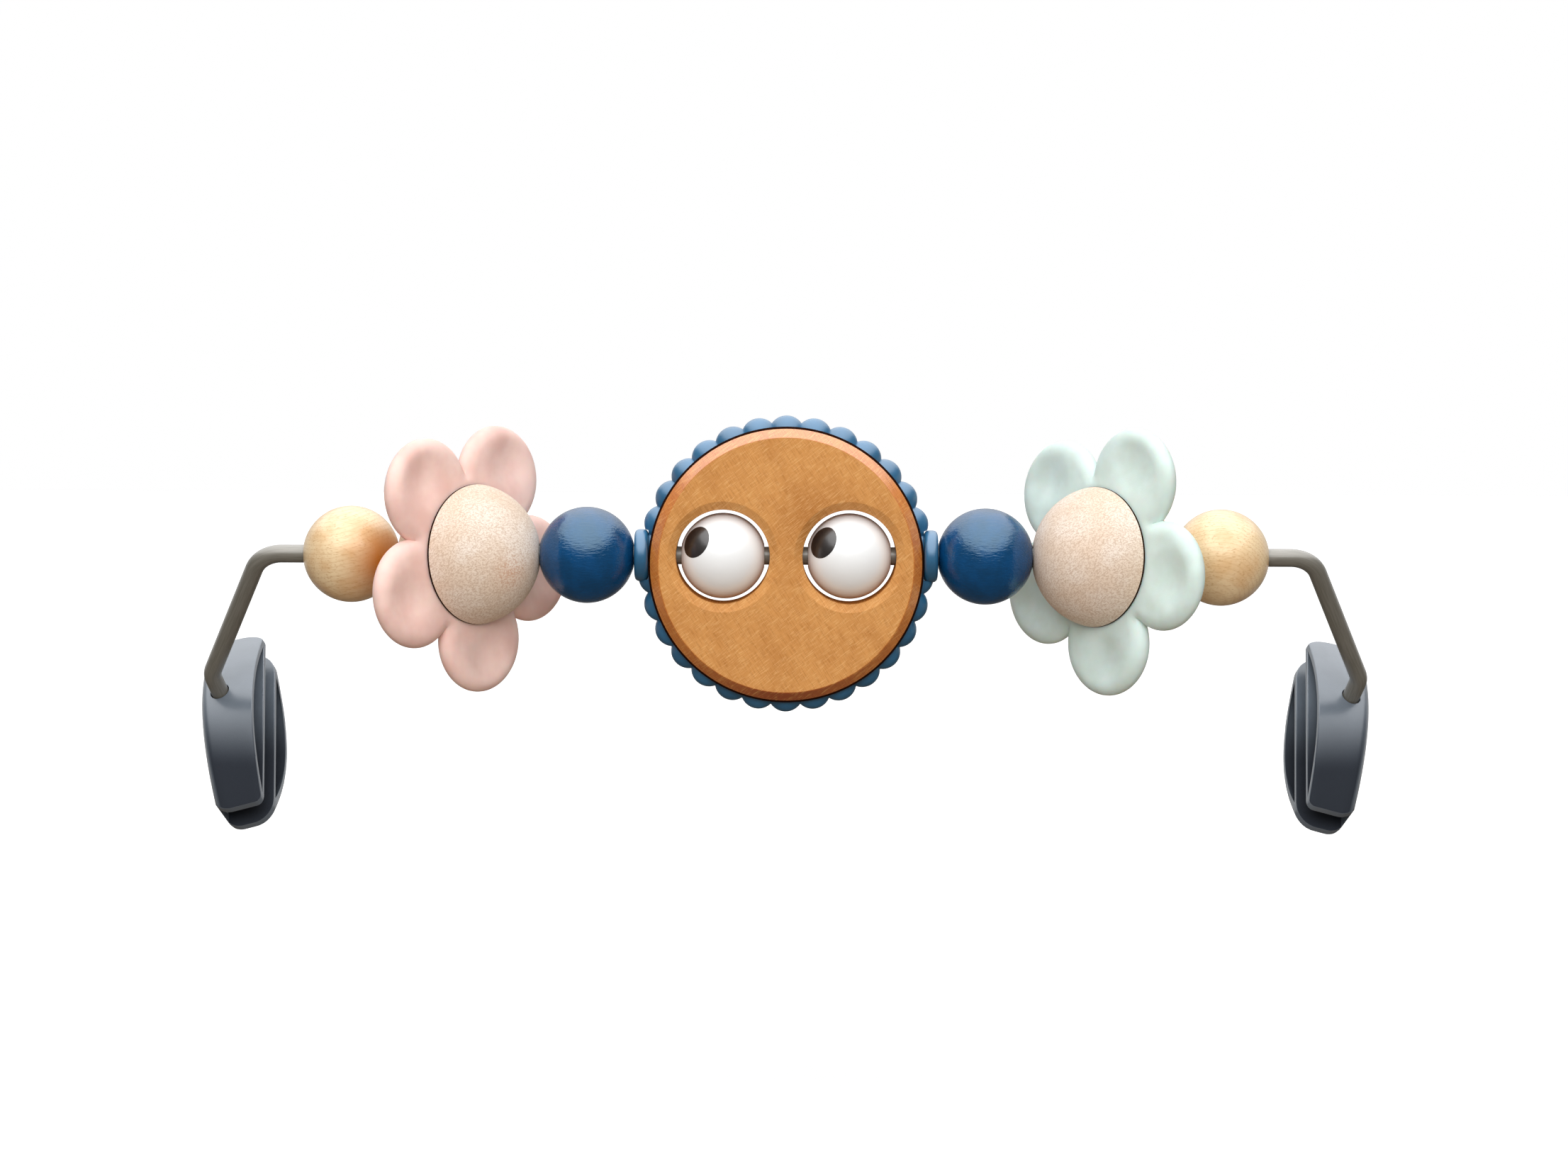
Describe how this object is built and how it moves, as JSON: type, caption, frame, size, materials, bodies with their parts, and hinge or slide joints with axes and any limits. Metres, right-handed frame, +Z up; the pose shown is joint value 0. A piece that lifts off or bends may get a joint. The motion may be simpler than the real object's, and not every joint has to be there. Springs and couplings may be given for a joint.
{
  "type": "bouncer toy bar",
  "caption": "Toy bar that clips across a baby bouncer: a bent steel rod with wooden beads, slanted petal flowers and a round face whose eyes turn in their holes.",
  "frame": {"origin": "midway between the middles of the two clips' slots, which take the side edges of the seat", "axes": "+X along the bar to the right of whoever looks at the face, +Y away from that viewer, +Z up; the face hangs in the plane of X and Z"},
  "size_m": [0.4028, 0.1083, 0.1417],
  "materials": {
    "satin_steel": "satin",
    "spring_steel": "bright",
    "grey_plastic": "satin",
    "varnished_wood": "clear varnish",
    "blue_lacquer": "gloss lacquer",
    "raw_wood": "sanded, untreated",
    "pink_soft_plastic": "matte",
    "mint_soft_plastic": "matte",
    "stained_wood": "stained, sanded",
    "blue_soft_plastic": "matte",
    "white_enamel": "gloss enamel"
  },
  "bodies": {
    "bar": {"wire_rod": "satin_steel", "left_rod_washer": "spring_steel", "right_rod_washer": "spring_steel"},
    "outer_bead_left": {"left_outer_bead": "varnished_wood"},
    "outer_bead_right": {"right_outer_bead": "varnished_wood"},
    "blue_bead_left": {"left_blue_bead": "blue_lacquer"},
    "blue_bead_right": {"right_blue_bead": "blue_lacquer"},
    "pink_flower": {"pink_flower_ball": "raw_wood", "pink_petal_ring": "pink_soft_plastic"},
    "mint_flower": {"mint_flower_ball": "raw_wood", "mint_petal_ring": "mint_soft_plastic"},
    "face": {"face_disc": "stained_wood", "scalloped_ring": "blue_soft_plastic", "left_collar": "blue_soft_plastic", "right_collar": "blue_soft_plastic"},
    "eye_left": {"left_eye_ball": "white_enamel"},
    "eye_right": {"right_eye_ball": "white_enamel"},
    "clip_left": {"left_clip": "grey_plastic"},
    "clip_right": {"right_clip": "grey_plastic"}
  },
  "joints": [
    {"name": "left_outer_bead_spin", "type": "hinge", "parent": "bar", "child": "outer_bead_left", "pos_m": [-0.14409, -0.0416, 0.0645], "axis": [1, 0, 0], "continuous": true},
    {"name": "right_outer_bead_spin", "type": "hinge", "parent": "bar", "child": "outer_bead_right", "pos_m": [0.14409, -0.0416, 0.0645], "axis": [1, 0, 0], "continuous": true},
    {"name": "left_blue_bead_spin", "type": "hinge", "parent": "bar", "child": "blue_bead_left", "pos_m": [-0.06599, -0.0416, 0.0645], "axis": [1, 0, 0], "continuous": true},
    {"name": "right_blue_bead_spin", "type": "hinge", "parent": "bar", "child": "blue_bead_right", "pos_m": [0.06599, -0.0416, 0.0645], "axis": [1, 0, 0], "continuous": true},
    {"name": "pink_flower_spin", "type": "hinge", "parent": "bar", "child": "pink_flower", "pos_m": [-0.10504, -0.0416, 0.0645], "axis": [1, 0, 0], "continuous": true},
    {"name": "mint_flower_spin", "type": "hinge", "parent": "bar", "child": "mint_flower", "pos_m": [0.10504, -0.0416, 0.0645], "axis": [1, 0, 0], "continuous": true},
    {"name": "face_spin", "type": "hinge", "parent": "bar", "child": "face", "pos_m": [0, -0.0416, 0.0645], "axis": [1, 0, 0], "continuous": true},
    {"name": "left_eye_spin", "type": "hinge", "parent": "bar", "child": "eye_left", "pos_m": [-0.0209, -0.0416, 0.0645], "axis": [1, 0, 0], "continuous": true},
    {"name": "right_eye_spin", "type": "hinge", "parent": "bar", "child": "eye_right", "pos_m": [0.0209, -0.0416, 0.0645], "axis": [1, 0, 0], "continuous": true},
    {"name": "left_clip_swivel", "type": "hinge", "parent": "bar", "child": "clip_left", "pos_m": [-0.1938, -0.00507, 0.01494], "axis": [0.1979, 0.6473, -0.7361], "continuous": true},
    {"name": "right_clip_swivel", "type": "hinge", "parent": "bar", "child": "clip_right", "pos_m": [0.1938, -0.00507, 0.01494], "axis": [-0.1979, 0.6473, -0.7361], "continuous": true}
  ]
}
